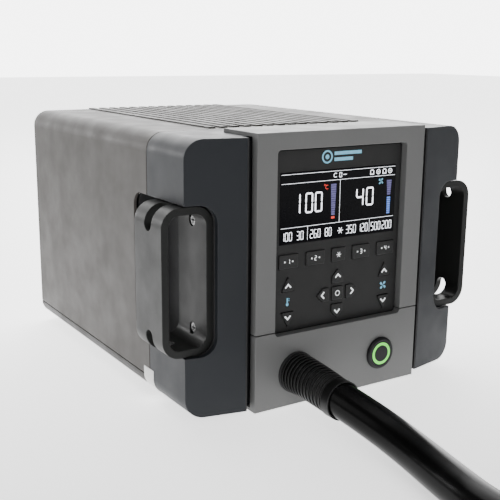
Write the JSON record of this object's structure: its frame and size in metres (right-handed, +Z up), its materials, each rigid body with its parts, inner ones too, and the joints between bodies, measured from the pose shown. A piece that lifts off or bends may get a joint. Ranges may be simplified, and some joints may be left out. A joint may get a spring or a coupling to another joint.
{
  "type": "hot air station",
  "caption": "Bench hot air station: boxy housing with a display and keypad front, side handles, a power button and an air hose that ends in a heated handpiece.",
  "frame": {"origin": "middle of the plane that the four feet stand on, under the housing", "axes": "+Z up, the front panel faces -Y, the hose port is on the -X side"},
  "size_m": [0.4198, 0.5923, 0.1788],
  "materials": {
    "cover_paint": "satin",
    "bezel_plastic": "satin",
    "panel_paint": "satin",
    "black_plastic": "matte",
    "keypad_plastic": "fine texture",
    "key_plastic": "fine texture",
    "display_glass": "gloss",
    "circuit_board": "satin",
    "switch_gloss": "gloss",
    "green_light": "lit",
    "steel": "plain",
    "handle_plastic": "satin",
    "soft_rubber": "matte",
    "hose_gloss": "gloss",
    "rear_paint": "satin",
    "paper": "paper",
    "grip_plastic": "satin",
    "heater_steel": "brushed",
    "impeller_plastic": "matte"
  },
  "bodies": {
    "station": {"air_duct": "black_plastic", "base_pan": "cover_paint", "blower_cover": "black_plastic", "blower_housing": "black_plastic", "blower_motor": "steel", "display_board": "circuit_board", "foot_screws": "steel", "front_bezel": "bezel_plastic", "front_panel_lower": "panel_paint", "front_panel_upper": "panel_paint", "handle_left": "handle_plastic", "handle_right": "handle_plastic", "handle_screws": "steel", "handle_tray_left": "black_plastic", "handle_tray_right": "black_plastic", "handpiece_grip_lower": "grip_plastic", "handpiece_grip_upper": "grip_plastic", "handpiece_relief": "soft_rubber", "heater_barrel": "heater_steel", "heater_core": "heater_steel", "hose_coil": "hose_gloss", "hose_flange": "black_plastic", "hose_relief": "soft_rubber", "hose_tail": "hose_gloss", "hose_tube": "hose_gloss", "inlet_pins": "steel", "key_switches": "black_plastic", "keypad_panel": "keypad_plastic", "lcd_module": "black_plastic", "lcd_window": "display_glass", "main_board": "circuit_board", "mains_inlet": "black_plastic", "panel_subframe": "black_plastic", "power_switch_body": "switch_gloss", "power_switch_nut": "steel", "rear_panel": "rear_paint", "rear_screws": "steel", "rubber_feet": "soft_rubber", "seal_label": "paper", "top_cover": "cover_paint", "transformer": "steel"},
    "key_air_down": {"key_air_down": "key_plastic"},
    "key_air_up": {"key_air_up": "key_plastic"},
    "key_cool": {"key_cool": "key_plastic"},
    "key_heat_down": {"key_heat_down": "key_plastic"},
    "key_heat_up": {"key_heat_up": "key_plastic"},
    "key_nav_down": {"key_nav_down": "key_plastic"},
    "key_nav_left": {"key_nav_left": "key_plastic"},
    "key_nav_right": {"key_nav_right": "key_plastic"},
    "key_nav_up": {"key_nav_up": "key_plastic"},
    "key_preset_four": {"key_preset_four": "key_plastic"},
    "key_preset_one": {"key_preset_one": "key_plastic"},
    "key_preset_three": {"key_preset_three": "key_plastic"},
    "key_preset_two": {"key_preset_two": "key_plastic"},
    "key_set": {"key_set": "key_plastic"},
    "power_button": {"power_cap": "switch_gloss", "power_light_ring": "green_light"},
    "fuse_drawer_body": {"fuse_drawer": "black_plastic"},
    "impeller": {"blower_impeller": "impeller_plastic"},
    "nozzle_body": {"nozzle": "heater_steel"}
  },
  "joints": [
    {"name": "press_air_down", "type": "slide", "parent": "station", "child": "key_air_down", "axis": [0, 1, 0], "range_m": [0, 0.0005], "stiffness_N_per_m": 600},
    {"name": "press_air_up", "type": "slide", "parent": "station", "child": "key_air_up", "axis": [0, 1, 0], "range_m": [0, 0.0005], "stiffness_N_per_m": 600},
    {"name": "press_cool", "type": "slide", "parent": "station", "child": "key_cool", "axis": [0, 1, 0], "range_m": [0, 0.0005], "stiffness_N_per_m": 600},
    {"name": "press_heat_down", "type": "slide", "parent": "station", "child": "key_heat_down", "axis": [0, 1, 0], "range_m": [0, 0.0005], "stiffness_N_per_m": 600},
    {"name": "press_heat_up", "type": "slide", "parent": "station", "child": "key_heat_up", "axis": [0, 1, 0], "range_m": [0, 0.0005], "stiffness_N_per_m": 600},
    {"name": "press_nav_down", "type": "slide", "parent": "station", "child": "key_nav_down", "axis": [0, 1, 0], "range_m": [0, 0.0005], "stiffness_N_per_m": 600},
    {"name": "press_nav_left", "type": "slide", "parent": "station", "child": "key_nav_left", "axis": [0, 1, 0], "range_m": [0, 0.0005], "stiffness_N_per_m": 600},
    {"name": "press_nav_right", "type": "slide", "parent": "station", "child": "key_nav_right", "axis": [0, 1, 0], "range_m": [0, 0.0005], "stiffness_N_per_m": 600},
    {"name": "press_nav_up", "type": "slide", "parent": "station", "child": "key_nav_up", "axis": [0, 1, 0], "range_m": [0, 0.0005], "stiffness_N_per_m": 600},
    {"name": "press_preset_four", "type": "slide", "parent": "station", "child": "key_preset_four", "axis": [0, 1, 0], "range_m": [0, 0.0005], "stiffness_N_per_m": 600},
    {"name": "press_preset_one", "type": "slide", "parent": "station", "child": "key_preset_one", "axis": [0, 1, 0], "range_m": [0, 0.0005], "stiffness_N_per_m": 600},
    {"name": "press_preset_three", "type": "slide", "parent": "station", "child": "key_preset_three", "axis": [0, 1, 0], "range_m": [0, 0.0005], "stiffness_N_per_m": 600},
    {"name": "press_preset_two", "type": "slide", "parent": "station", "child": "key_preset_two", "axis": [0, 1, 0], "range_m": [0, 0.0005], "stiffness_N_per_m": 600},
    {"name": "press_set", "type": "slide", "parent": "station", "child": "key_set", "axis": [0, 1, 0], "range_m": [0, 0.0005], "stiffness_N_per_m": 600},
    {"name": "power_press", "type": "slide", "parent": "station", "child": "power_button", "axis": [0, 1, 0], "range_m": [0, 0.0015], "stiffness_N_per_m": 800},
    {"name": "fuse_drawer_slide", "type": "slide", "parent": "station", "child": "fuse_drawer_body", "axis": [0, 1, 0], "range_m": [0, 0.018]},
    {"name": "impeller_spin", "type": "hinge", "parent": "station", "child": "impeller", "pos_m": [-0.004, -0.014, 0.03], "axis": [0, 0, 1], "continuous": true},
    {"name": "nozzle_pull", "type": "slide", "parent": "station", "child": "nozzle_body", "axis": [0, 1, 0], "range_m": [0, 0.014]}
  ]
}
